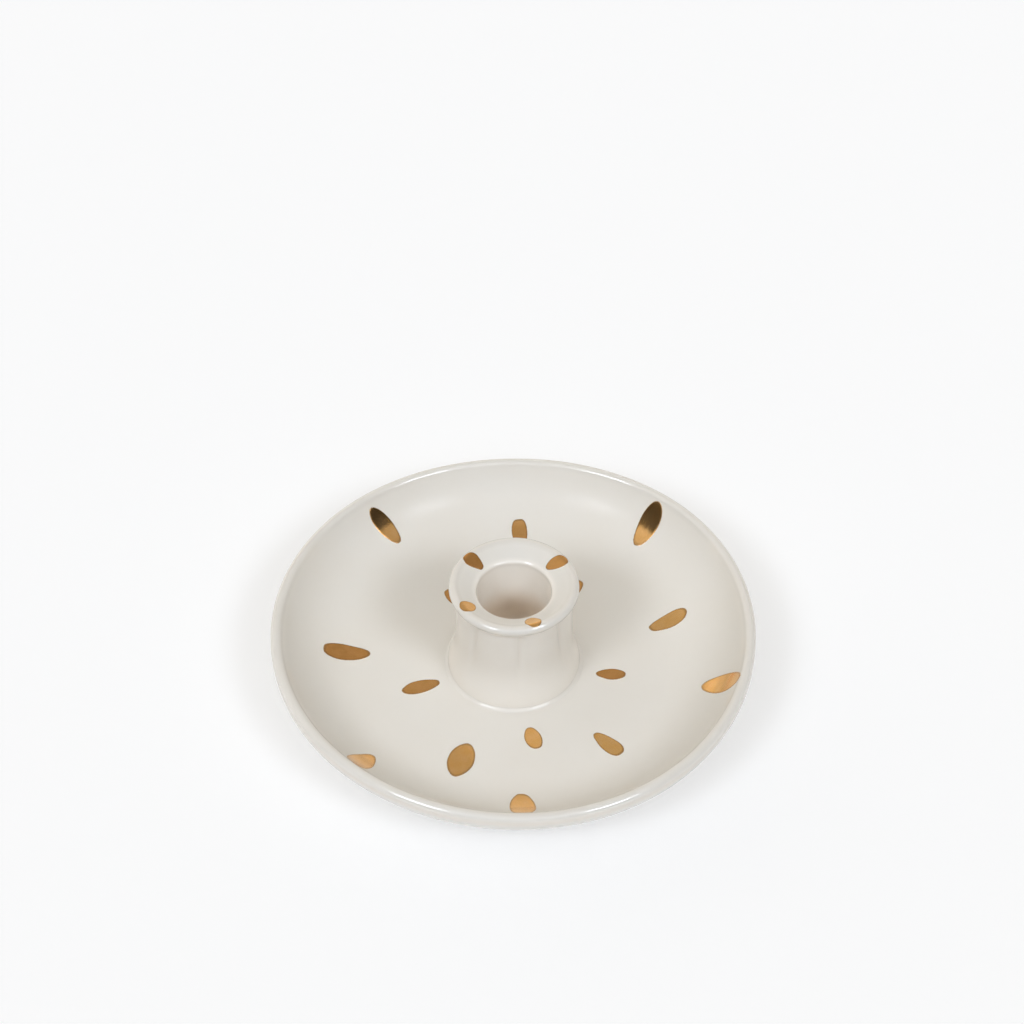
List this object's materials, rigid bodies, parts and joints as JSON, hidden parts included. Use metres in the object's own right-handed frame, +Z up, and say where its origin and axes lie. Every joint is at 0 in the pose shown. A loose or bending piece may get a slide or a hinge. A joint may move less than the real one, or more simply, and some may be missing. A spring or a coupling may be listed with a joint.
{
  "type": "candle plate",
  "caption": "Round shallow saucer on a foot ring with a lobed candle cup in its middle, for a dinner candle, glazed white with scattered gold dabs.",
  "frame": {"origin": "on the table under the middle of the saucer, in the plane of the foot ring", "axes": "+Z up out of the candle socket; -Y towards the front of the picture, +X to its right"},
  "size_m": [0.155, 0.155, 0.0437],
  "materials": {
    "white_glaze": "gloss",
    "fired_slip": "satin",
    "gold_lustre": "polished"
  },
  "bodies": {
    "root": {"plate": "white_glaze", "joining_slip": "fired_slip", "candle_cup": "white_glaze", "plate_gold_dab_01": "gold_lustre", "plate_gold_dab_02": "gold_lustre", "plate_gold_dab_03": "gold_lustre", "plate_gold_dab_04": "gold_lustre", "plate_gold_dab_05": "gold_lustre", "plate_gold_dab_06": "gold_lustre", "plate_gold_dab_07": "gold_lustre", "plate_gold_dab_08": "gold_lustre", "plate_gold_dab_09": "gold_lustre", "plate_gold_dab_10": "gold_lustre", "plate_gold_dab_11": "gold_lustre", "plate_gold_dab_12": "gold_lustre", "plate_gold_dab_13": "gold_lustre", "plate_gold_dab_14": "gold_lustre", "plate_gold_dab_15": "gold_lustre", "collar_gold_dab_01": "gold_lustre", "collar_gold_dab_02": "gold_lustre", "collar_gold_dab_03": "gold_lustre", "collar_gold_dab_04": "gold_lustre"}
  },
  "joints": []
}
